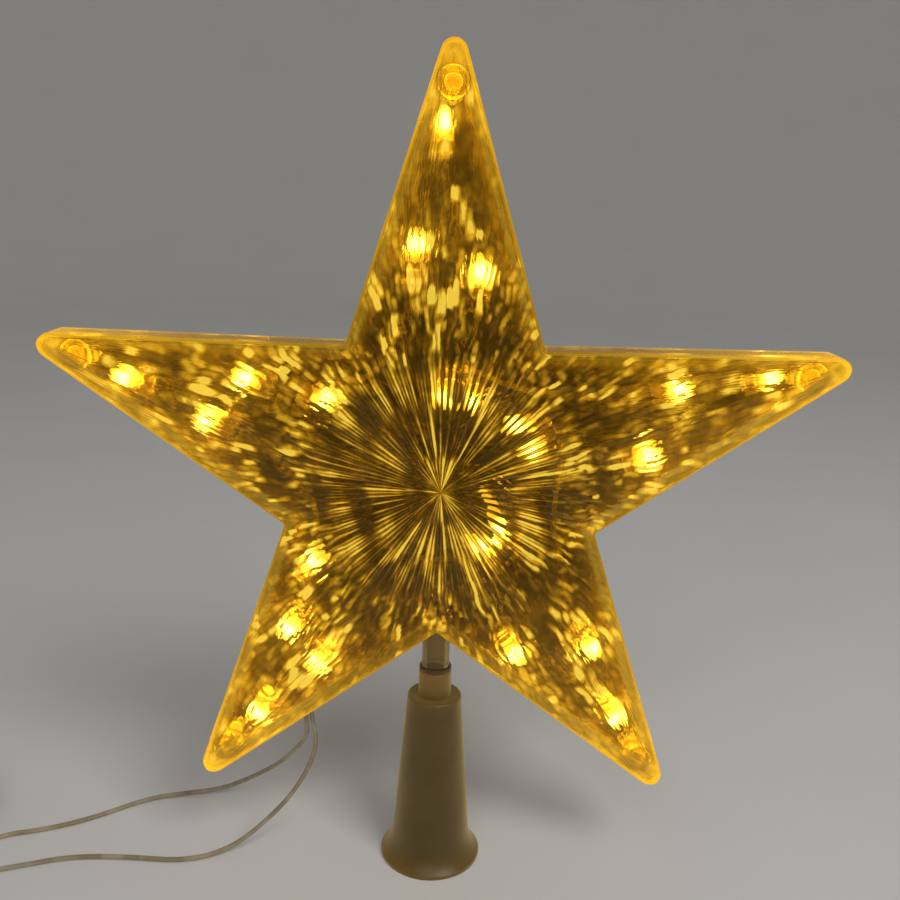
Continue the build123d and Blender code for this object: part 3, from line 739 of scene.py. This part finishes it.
def shell_mesh(name, outward, is_rear, seed):
    """Closed mesh of one half shell, with its light kept on the points."""
    rings = shell_rings(is_rear, seed)
    count = len(ray_phi)
    places, glow, rim = [], [], []
    for reach, depth, light, share in rings:
        x = reach * np.cos(ray_turn)
        z = CENTRE_HEIGHT + reach * np.sin(ray_turn)
        places.append(np.stack([x, outward * depth, z], axis=1))
        from_lamps = LAMP_SHARE * lamp_light(x, z)
        to_edge = edge_distance - reach * np.cos(ray_phi - edge_turn)
        near_edge = np.clip(1 - to_edge / EDGE_RUN, 0, 1)
        haze = np.interp(reach, *zip(*HAZE)) + EDGE_HAZE * near_edge
        haze *= BOSS_HAZE + (1 - BOSS_HAZE) * over_bosses(reach)
        face = haze + light * (np.interp(reach, *zip(*BRICK_GLOW)) + from_lamps)
        along_arm = np.clip((reach - NOTCH_REACH) / (TIP_REACH - NOTCH_REACH), 0, 1)
        edge = along_arm + EDGE_LAMP_SHARE * from_lamps + light
        glow.append(edge if share > 0 else face)
        rim.append(np.full(count, share) if share > 0 else EDGE_RIM * near_edge)
    apex = [(0, outward * APEX_DEPTH, CENTRE_HEIGHT)]
    inner_peak = [(0, outward * inner_apex, CENTRE_HEIGHT)]
    points = np.concatenate([apex, *places, inner_peak])
    faces = skin_faces(len(rings), count)
    if outward < 0:
        faces = [face[::-1] for face in faces]
    mesh = bpy.data.meshes.new(name)
    mesh.from_pydata(points.tolist(), [], faces)
    smooth = np.zeros(len(faces), bool)
    smooth[count * (RELIEF_ROWS + 1):] = True
    mesh.polygons.foreach_set("use_smooth", smooth)
    keep_numbers(mesh, "glow", np.concatenate([[APEX_GLOW], *glow, [0.0]]))
    keep_numbers(mesh, "rim", np.concatenate([[0.0], *rim, [0.0]]))
    mesh.update()
    return mesh


front_mesh = shell_mesh("front_half", -1, False, FRONT_SEED)
rear_mesh = shell_mesh("rear_half", 1, True, REAR_SEED)
for mesh in (front_mesh, rear_mesh):
    work = bmesh.new()
    work.from_mesh(mesh)
    volume = work.calc_volume(signed=True) * 1e6
    work.free()
    print(mesh.name, len(mesh.polygons), "faces", round(volume, 2), "cm3 of plastic")

# %% [markdown]
# ## Clear plastic that carries warm light
# The plastic is clear, but all the light in it is the lamps' own gold, so it reads as amber. The shader lets
# light through and bends it, which repeats each lamp in the flutes by itself. On top of that the points'
# light numbers drive a golden emission, which is painted light: dark between the bricks, gold on them, and
# a bright rim. The same numbers paint the amber base colour lighter where the light is stronger.

# %% Shell finish
GOLD_DEEP = (0.27, 0.132, 0.004, 1)
GOLD = (0.66, 0.375, 0.014, 1)
GOLD_PALE = (1.0, 0.70, 0.07, 1)
RIM_DIM = (0.17, 0.09, 0.004, 1)
RIM_GOLD = (0.53, 0.315, 0.011, 1)
AMBER_UNLIT = (0.25, 0.168, 0.036, 1)
AMBER_PAINTED_LIT = (0.50, 0.36, 0.065, 1)
AMBER_RIM = (0.34, 0.225, 0.036, 1)
REFLECTED_GOLD = (0.95, 0.70, 0.20, 1)
NO_LIGHT = (0, 0, 0, 1)


def shell_finish(name):
    """Clear plastic that is lit by the numbers on its points."""
    finish = Finish(name)
    glow = finish.attribute("glow")
    rim = finish.attribute("rim")
    specks = finish.noise(420.0, 2.0)
    streak = finish.ramp(glow * (0.5 + specks), 0.12, 1.35)
    lit = finish.mix(finish.ramp(streak, 0.0, 0.55), NO_LIGHT, GOLD_DEEP)
    lit = finish.mix(finish.ramp(streak, 0.35, 0.9), lit, GOLD)
    lit = finish.mix(finish.ramp(streak, 0.85, 1.0), lit, GOLD_PALE)
    band = finish.mix(finish.ramp(glow * (0.8 + specks * 0.4), 0.0, 1.05), RIM_DIM, RIM_GOLD)
    lit = finish.mix(rim, lit, band)
    # Painted light in the base colour: the amber tint runs from its unlit tone to a lighter one with the glow.
    amber_with_painted_light = finish.mix(finish.ramp(glow, 0.05, 0.8), AMBER_UNLIT, AMBER_PAINTED_LIT)
    finish.surface({
        "Base Color": finish.mix(rim, amber_with_painted_light, AMBER_RIM),
        "Roughness": 0.035 + specks * 0.05 + rim * 0.22,
        "IOR": 1.47,
        "Specular Tint": REFLECTED_GOLD,
        "Transmission Weight": 1.0,
        "Emission Color": lit,
        "Emission Strength": 0.75,
    })
    return finish


front_finish = shell_finish("front_clear")
rear_finish = shell_finish("rear_clear")
front_half = new_piece("front_half", front_mesh, front_finish, "star")
rear_half = new_piece("rear_half", rear_mesh, rear_finish, "star")
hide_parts("front_shell")
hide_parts("rear_shell")
print("shell finish", len(front_finish.tree.nodes), "nodes")

# %% [markdown]
# ## Pegs, sockets and the neck's seat
# Near each tip the front shell has a round boss with a socket, and the rear one a boss with a peg that fits
# it. They are what shows as a small ring in each point of the star, because their edges catch the light. Each
# is a turned profile whose top follows the slanting inner facets, so it stands on the shell from any side. A
# row of a profile is a radius, a depth and a light number, and no depth means the inner facet.

# %% Bosses
PEG_RADIUS = 0.0019
PEG_LENGTH = 0.004
SEAT_GAP = 0.00004
BOSS_SIDES = 40


def turned_mesh(name, rings, ends, light):
    """Closed skin over rings of points, with a point at each end and a light number on each ring."""
    count = len(rings[0])
    points = [ends[0]] + [p for ring in rings for p in ring] + [ends[1]]
    faces = skin_faces(len(rings), count)
    mesh = bpy.data.meshes.new(name)
    mesh.from_pydata([tuple(p) for p in points], [], faces)
    mesh.polygons.foreach_set("use_smooth", np.ones(len(faces), bool))
    keep_numbers(mesh, "glow", np.concatenate([[light[0]], np.repeat(light, count), [light[-1]]]))
    face_outwards(mesh)
    return mesh


def inner_face(along, aside):
    """Depth of the inner facets at a place of an arm."""
    return float(inner_depth(abs(atan2(aside, along)), hypot(along, aside)))


def boss_limit(angle):
    """How far a boss can reach from its middle before it meets the shell's wall."""
    to_wall = (sharp_reach - PEG_REACH) * sin(tip_angle) - WALL - SEAT_GAP
    spread = cos(angle) * sin(tip_angle) + abs(sin(angle)) * cos(tip_angle)
    return to_wall / spread if spread > 0 else BOSS_RADIUS


def boss_mesh(name, arm, outward, profile):
    """A boss: from the middle of its open end, out and up to the inner facet."""
    rings = []
    for radius, depth, light in profile:
        ring = []
        for index in range(BOSS_SIDES):
            angle = 2 * pi * index / BOSS_SIDES
            size = min(radius, boss_limit(angle))
            along = PEG_REACH + size * cos(angle)
            aside = size * sin(angle)
            level = inner_face(along, aside) - SEAT_GAP if depth is None else depth
            ring.append(arm_point(arm, along, aside, outward * level))
        rings.append(ring)
    top = inner_face(PEG_REACH, 0.0) - SEAT_GAP
    ends = [arm_point(arm, PEG_REACH, 0.0, outward * depth) for depth in (profile[0][1], top)]
    return turned_mesh(name, rings, ends, [light for radius, depth, light in profile])


SOCKET_DEPTH = 0.0042
SOCKET_PLAY = 0.0001
RIM_ROUND = 0.0003
CHAMFER = 0.0004
BOSS_FOOT = 0.0001
FOOT_ROUND = 0.0002
BOSS_WAIST = 0.0022
TOP_BAND = 0.0006
socket_radius = PEG_RADIUS + SOCKET_PLAY
boss_outside = ((BOSS_RADIUS - FOOT_ROUND, BOSS_FOOT, 0.5), (BOSS_RADIUS, RIM_ROUND, 0.8),
                (BOSS_RADIUS, BOSS_WAIST, 0.2), (BOSS_RADIUS, None, 1.0),
                (BOSS_RADIUS - TOP_BAND, None, 0.15), (BOSS_RADIUS * 0.4, None, 0.1))
socket_profile = ((PEG_RADIUS * 0.6, SOCKET_DEPTH, 0.6), (socket_radius, SOCKET_DEPTH, 0.9),
                  (socket_radius, SOCKET_DEPTH - TOP_BAND, 0.2), (socket_radius, CHAMFER, 0.2),
                  (PEG_RADIUS + RIM_ROUND, BOSS_FOOT, 0.5), *boss_outside)
peg_profile = ((PEG_RADIUS * 0.6, -PEG_LENGTH, 0.8), (PEG_RADIUS - RIM_ROUND, -PEG_LENGTH, 1.0),
               (PEG_RADIUS, CHAMFER - PEG_LENGTH, 0.5), (PEG_RADIUS, BOSS_FOOT, 0.2), *boss_outside)
print("rows of a socket", len(socket_profile), "and of a peg", len(peg_profile))

# %% Boss finish and pieces
HONEY_DARK = (0.62, 0.47, 0.16, 1)
HONEY_LIGHT = (0.82, 0.66, 0.30, 1)
BOSS_UNLIT = (0.008, 0.005, 0.0003, 1)
boss_finish = Finish("boss_clear")
boss_specks = boss_finish.noise(500.0)
boss_light = boss_finish.ramp(boss_finish.attribute("glow") + boss_specks * 0.2, 0.2, 1.1)
boss_finish.surface({
    "Base Color": boss_finish.mix(boss_specks, HONEY_DARK, HONEY_LIGHT),
    "Roughness": 0.04 + boss_specks * 0.05,
    "IOR": 1.47,
    "Transmission Weight": 1.0,
    "Emission Color": boss_finish.mix(boss_light, BOSS_UNLIT, GOLD_PALE),
    "Emission Strength": 2.6,
})
for arm in ARMS:
    socket = boss_mesh(f"socket_{arm}", arm, -1, socket_profile)
    new_piece(f"socket_{arm}", socket, boss_finish, "star")
    peg = boss_mesh(f"peg_{arm}", arm, 1, peg_profile)
    new_piece(f"peg_{arm}", peg, boss_finish, "star")
print("bosses", 2 * len(ARMS))

# %% [markdown]
# The neck turns in a block inside the bottom notch. Each half is a U of solid plastic with half of the bore,
# and a groove that holds the tube's flange so that the star can't be pulled off. It is a grid of sections,
# one for each height, that run round the bore and back along the shell's inner face.

# %% Neck seat
SEAT_HALF_WIDTH = 0.007
SEAT_TOP_DROP = 0.0348
SEAT_BOTTOM_DROP = 0.0392
FLANGE_DROP = 0.0372
GROOVE_HALF = 0.0008
GROOVE_RADIUS = 0.00445
SEAT_STEPS = 20
SEAT_FACE = 0.0001


def seat_section(drop, bore, outward):
    """Closed loop of one level of the seat: round the bore, then back over the top of the block."""
    loop = []
    for step in range(SEAT_STEPS + 1):
        angle = pi * step / SEAT_STEPS
        loop.append((bore * cos(angle), max(bore * sin(angle), SEAT_FACE)))
    loop.append((-SEAT_HALF_WIDTH, SEAT_FACE))
    for step in range(SEAT_STEPS + 1):
        aside = -SEAT_HALF_WIDTH + 2 * SEAT_HALF_WIDTH * step / SEAT_STEPS
        phi = HALF_TURN - abs(atan2(aside, drop))
        loop.append((aside, float(inner_depth(phi, hypot(aside, drop))) - SEAT_GAP))
    loop.append((SEAT_HALF_WIDTH, SEAT_FACE))
    return [Vector((x, outward * depth, CENTRE_HEIGHT - drop)) for x, depth in loop]


def seat_mesh(name, outward):
    """One half of the seat, with a groove for the flange."""
    groove_top = FLANGE_DROP - GROOVE_HALF
    groove_bottom = FLANGE_DROP + GROOVE_HALF
    levels = [(SEAT_TOP_DROP, NECK_HOLE), (groove_top, NECK_HOLE), (groove_top, GROOVE_RADIUS),
              (groove_bottom, GROOVE_RADIUS), (groove_bottom, NECK_HOLE), (SEAT_BOTTOM_DROP, NECK_HOLE)]
    loops = [seat_section(drop, bore, outward) for drop, bore in levels]
    count = len(loops[0])
    faces = []
    for row in range(len(loops) - 1):
        low = row * count
        high = low + count
        for i in range(count):
            j = (i + 1) % count
            faces.append((low + i, low + j, high + j, high + i))
    for first in (0, (len(loops) - 1) * count):
        for step in range(SEAT_STEPS):
            near = first + step
            far = first + count - 2 - step
            faces.append((near, near + 1, far - 1, far))
        faces.append((first, first + count - 2, first + count - 1))
        faces.append((first + SEAT_STEPS, first + SEAT_STEPS + 1, first + SEAT_STEPS + 2))
    mesh = bpy.data.meshes.new(name)
    mesh.from_pydata([tuple(p) for loop in loops for p in loop], [], faces)
    face_outwards(mesh)
    return mesh


for name, outward in (("front_seat", -1), ("rear_seat", 1)):
    mesh = seat_mesh(name, outward)
    new_piece(name, mesh, boss_finish, "star")
    print(name, len(mesh.polygons), "faces")

# %% [markdown]
# ## Lamps, holders and wires
# The lamps are small clear domes with a warm white die, too bright to look at, and warmer towards their
# edges. Holders are clear plastic with a faint painted glow in the lamps' colour. The string's wires are
# clear over copper and catch a painted line of gold light.

# %% Lamp finish
LAMP_EDGE = (0.10, 0.072, 0.010, 1)
LAMP_MIDDLE = (1.0, 0.90, 0.42, 1)
lamp_finish = Finish("lit_lamp")
lamp_specks = lamp_finish.noise(700.0, 1.0)
lamp_box = lamp_finish.node("ShaderNodeTexCoord").output("Generated")
lamp_flat = lamp_finish.vector("MULTIPLY", lamp_box, (1.0, 0.0, 1.0))
from_die = lamp_finish.vector("DISTANCE", lamp_flat, (0.5, 0.0, 0.5)).output("Value")
lamp_core = 1 - lamp_finish.ramp(from_die + lamp_specks * 0.12, 0.10, 0.50)
lamp_tone = lamp_finish.mix(lamp_core, LAMP_EDGE, LAMP_MIDDLE)
lamp_finish.surface({
    "Base Color": (1.0, 0.86, 0.45, 1),
    "Roughness": 0.15,
    "Emission Color": lamp_tone,
    "Emission Strength": 36.0,
})
dress(lamp_finish, *lamp_names)
print("lamps dressed", len(lamp_names))

# %% Holder and wire finishes
HOLDER_DARK = (0.75, 0.6, 0.28, 1)
HOLDER_LIGHT = (0.95, 0.82, 0.45, 1)
holder_finish = Finish("clear_holder")
holder_specks = holder_finish.noise(600.0)
holder_finish.surface({
    "Base Color": holder_finish.mix(holder_specks, HOLDER_DARK, HOLDER_LIGHT),
    "Roughness": 0.08 + holder_specks * 0.1,
    "IOR": 1.45,
    "Transmission Weight": 0.85,
    # Painted light: a faint gold emission stands for the lamps' light in the holders.
    "Emission Color": holder_finish.mix(holder_specks, GOLD_DEEP, GOLD),
    "Emission Strength": 0.5,
})
dress(holder_finish, *[name.replace("led_", "led_holder_") for name in lamp_names])

STRING_DARK = (0.42, 0.29, 0.10, 1)
STRING_LIGHT = (0.85, 0.68, 0.32, 1)
STRING_UNLIT = (0.16, 0.09, 0.006, 1)
string_finish = Finish("lit_wire")
string_specks = string_finish.noise(260.0, 3.0)
string_lit = string_finish.ramp(string_specks, 0.45, 0.75)
string_finish.surface({
    "Base Color": string_finish.mix(string_specks, STRING_DARK, STRING_LIGHT),
    "Roughness": 0.16 + string_specks * 0.15,
    "Coat Weight": 0.7,
    # Painted light: gold emission in spots along the wires stands for the lamps' light that they catch.
    "Emission Color": string_finish.mix(string_lit, STRING_UNLIT, GOLD),
    "Emission Strength": 1.6,
})
dress(string_finish, *[f"string_wires_{arm}" for arm in ARMS])
print("string dressed")

# %% [markdown]
# ## Neck tube and sleeve
# The neck is clear tube. The sleeve is frosted: light goes in and is scattered, so it glows softly near the
# star and at its foot. Rough transmission lets the light in, a sheen lightens its edges, a faint emission
# stands for the light that comes down from the star, and fine noise is the grain of the mould.

# %% Neck and sleeve finishes
NECK_DARK = (0.50, 0.37, 0.13, 1)
NECK_LIGHT = (0.66, 0.51, 0.21, 1)
neck_finish = Finish("clear_neck")
neck_specks = neck_finish.noise(350.0)
neck_finish.surface({
    "Base Color": neck_finish.mix(neck_specks, NECK_DARK, NECK_LIGHT),
    "Roughness": 0.06 + neck_specks * 0.1,
    "IOR": 1.47,
    "Transmission Weight": 0.95,
})
dress(neck_finish, "neck_tube")

SLEEVE_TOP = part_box("base_sleeve")[1].z
LIT_FROM = 0.78
FOOT_LIT = 0.007
FOOT_SHARE = 0.6
FROST_DARK = (0.24, 0.165, 0.045, 1)
FROST_LIGHT = (0.32, 0.225, 0.066, 1)
SLEEVE_UNLIT = (0.007, 0.004, 0.0005, 1)
SLEEVE_LIT = (0.050, 0.028, 0.003, 1)
sleeve_finish = Finish("frosted_sleeve")
grain = sleeve_finish.noise(1500.0, 3.0)
cloud = sleeve_finish.noise(90.0, 2.0)
height = sleeve_finish.node("ShaderNodeSeparateXYZ", None, {0: sleeve_finish.place()}).output("Z")
from_star = sleeve_finish.ramp(height, LIT_FROM * SLEEVE_TOP, SLEEVE_TOP)
at_foot = 1 - sleeve_finish.ramp(height, 0.0, FOOT_LIT)
piped = (from_star + at_foot * FOOT_SHARE) * (0.75 + grain * 0.5)
frost = sleeve_finish.mix(sleeve_finish.ramp(cloud, 0.3, 0.7), FROST_DARK, FROST_LIGHT)
sleeve_finish.surface({
    "Base Color": frost,
    "Roughness": 0.26 + grain * 0.16,
    "IOR": 1.42,
    "Transmission Weight": 0.8,
    "Sheen Weight": 0.8,
    "Sheen Roughness": 0.45,
    "Sheen Tint": (1.0, 0.75, 0.28, 1),
    "Emission Color": sleeve_finish.mix(piped, SLEEVE_UNLIT, SLEEVE_LIT),
    "Emission Strength": 1.0,
    "Normal": sleeve_finish.bump(grain, 0.25, 0.0002),
})
dress(sleeve_finish, "base_sleeve")
print("neck and sleeve dressed")

# %% [markdown]
# ## Tie, plug and pins
# They lie out of the picture but belong to the part. The tie and the plug are plain moulded plastic with a
# fine grain, the pins are nickel plated with faint turning marks, and their roots have dark insulation.

# %% Plug finishes
def moulded(name, dark, light, grain_scale, roughness):
    """Plain plastic with a fine grain and a faint cloud of two colours."""
    finish = Finish(name)
    fine = finish.noise(grain_scale, 3.0)
    broad = finish.noise(grain_scale / 12, 2.0)
    finish.surface({
        "Base Color": finish.mix(finish.ramp(broad, 0.3, 0.7), dark, light),
        "Roughness": roughness + fine * 0.2,
        "Normal": finish.bump(fine, 0.2, 0.0002),
    })
    return finish


TIE_COLOURS = (0.70, 0.68, 0.62, 1), (0.82, 0.80, 0.75, 1)
PLUG_COLOURS = (0.66, 0.62, 0.52, 1), (0.78, 0.74, 0.64, 1)
INSULATION_COLOURS = (0.03, 0.03, 0.03, 1), (0.06, 0.06, 0.06, 1)
dress(moulded("tie_plastic", *TIE_COLOURS, 900.0, 0.35), "coil_tie")
dress(moulded("plug_plastic", *PLUG_COLOURS, 1100.0, 0.4), "plug_body")
dress(moulded("pin_insulation", *INSULATION_COLOURS, 1400.0, 0.45), "plug_pin_sleeves")

NICKEL_DARK = (0.60, 0.57, 0.50, 1)
NICKEL_LIGHT = (0.78, 0.76, 0.70, 1)
pin_finish = Finish("nickel_pin")
pin_stretch = pin_finish.vector("MULTIPLY", pin_finish.place(), (6.0, 1.0, 1.0))
pin_marks = pin_finish.noise(900.0, 2.0, pin_stretch)
pin_finish.surface({
    "Base Color": pin_finish.mix(pin_marks, NICKEL_DARK, NICKEL_LIGHT),
    "Metallic": 1.0,
    "Roughness": 0.18 + pin_marks * 0.2,
    "Normal": pin_finish.bump(pin_marks, 0.1, 0.0001),
})
dress(pin_finish, "plug_pins")
print("plug dressed")

# %% [markdown]
# ## Floor and light
# A pale round floor turns up at its edge, so that there is no horizon from any side. The studio light is soft
# and low, so that the star's own light still shows.

# %% Floor
FLOOR_REACH = 1.1
FLOOR_CURVE = 0.8
FLOOR_TOP = 1.6
FLOOR_SIDES = 96
FLOOR_STEPS = 12
FLOOR_DARK = (0.74, 0.73, 0.71, 1)
FLOOR_LIGHT = (0.80, 0.79, 0.77, 1)
floor_profile = [(0.25, 0.0), (0.6, 0.0), (FLOOR_REACH, 0.0)]
for step in range(1, FLOOR_STEPS + 1):
    angle = pi / 2 * step / FLOOR_STEPS
    floor_profile.append((FLOOR_REACH + FLOOR_CURVE * sin(angle), FLOOR_CURVE * (1 - cos(angle))))
floor_profile.append((FLOOR_REACH + FLOOR_CURVE, FLOOR_TOP))
floor_points = [(0.0, 0.0, 0.0)]
for reach, height in floor_profile:
    for index in range(FLOOR_SIDES):
        angle = 2 * pi * index / FLOOR_SIDES
        floor_points.append((reach * cos(angle), reach * sin(angle), height))
floor_faces = [(0, 1 + i, 1 + (i + 1) % FLOOR_SIDES) for i in range(FLOOR_SIDES)]
for row in range(len(floor_profile) - 1):
    low = 1 + row * FLOOR_SIDES
    for i in range(FLOOR_SIDES):
        j = (i + 1) % FLOOR_SIDES
        floor_faces.append((low + i, low + FLOOR_SIDES + i, low + FLOOR_SIDES + j, low + j))
floor_mesh = bpy.data.meshes.new("floor")
floor_mesh.from_pydata(floor_points, [], floor_faces)
floor_mesh.polygons.foreach_set("use_smooth", np.ones(len(floor_faces), bool))
floor = bpy.data.objects.new("floor", floor_mesh)
bpy.context.scene.collection.objects.link(floor)
floor_finish = Finish("pale_floor")
floor_cloud = floor_finish.noise(14.0, 3.0)
floor_finish.surface({
    "Base Color": floor_finish.mix(floor_cloud, FLOOR_DARK, FLOOR_LIGHT),
    "Roughness": 0.65,
})
floor_mesh.materials.append(floor_finish.material)
floor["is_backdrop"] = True
print("floor faces", len(floor_faces))

# %% Lights, world and glare
MIDDLE = Vector((0.0, 0.0, 0.08))
WORLD_GREY = (0.20, 0.20, 0.20, 1)
BLOOM_FROM = 1.0
BLOOM_STRENGTH = 0.17
BLOOM_SIZE = 0.28


def soft_light(name, place, size, power, colour):
    """A square soft light that looks at the part's middle."""
    data = bpy.data.lights.new(name, "AREA")
    data.size = size
    data.energy = power
    data.color = colour
    light = bpy.data.objects.new(name, data)
    bpy.context.scene.collection.objects.link(light)
    light.location = place
    light.rotation_euler = (MIDDLE - Vector(place)).to_track_quat("-Z", "Y").to_euler()
    light.visible_glossy = False


soft_light("key", place=(0.5, -0.6, 0.9), size=0.5, power=5.0, colour=(1.0, 0.98, 0.95))
soft_light("fill", place=(-0.15, -0.9, 0.8), size=0.6, power=2.0, colour=(0.97, 0.98, 1.0))

world = bpy.data.worlds.new("studio")
world.use_nodes = True
background = world.node_tree.nodes["Background"]
background.inputs["Color"].default_value = WORLD_GREY
background.inputs["Strength"].default_value = 1.0
scene = bpy.context.scene
scene.world = world
scene.view_settings.view_transform = "Standard"
scene.cycles.use_denoising = True
scene.cycles.caustics_refractive = False
scene.cycles.max_bounces = 16
scene.cycles.transmission_bounces = 14

scene.use_nodes = True
tree = scene.node_tree
tree.nodes.clear()
layers = tree.nodes.new("CompositorNodeRLayers")
bloom = tree.nodes.new("CompositorNodeGlare")
bloom.glare_type = "BLOOM"
bloom.inputs["Threshold"].default_value = BLOOM_FROM
bloom.inputs["Strength"].default_value = BLOOM_STRENGTH
bloom.inputs["Size"].default_value = BLOOM_SIZE
shown = tree.nodes.new("CompositorNodeComposite")
tree.links.new(layers.outputs["Image"], bloom.inputs["Image"])
tree.links.new(bloom.outputs["Image"], shown.inputs["Image"])
print("lights", len(bpy.data.lights))

# %% [markdown]
# ## Sizes
# The looks don't change the part's size. The solid box is printed at the start, and the dressed box here.

# %% Print the dressed box and finish
dressed_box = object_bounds()
print("dressed box in mm", [in_mm(corner) for corner in dressed_box])
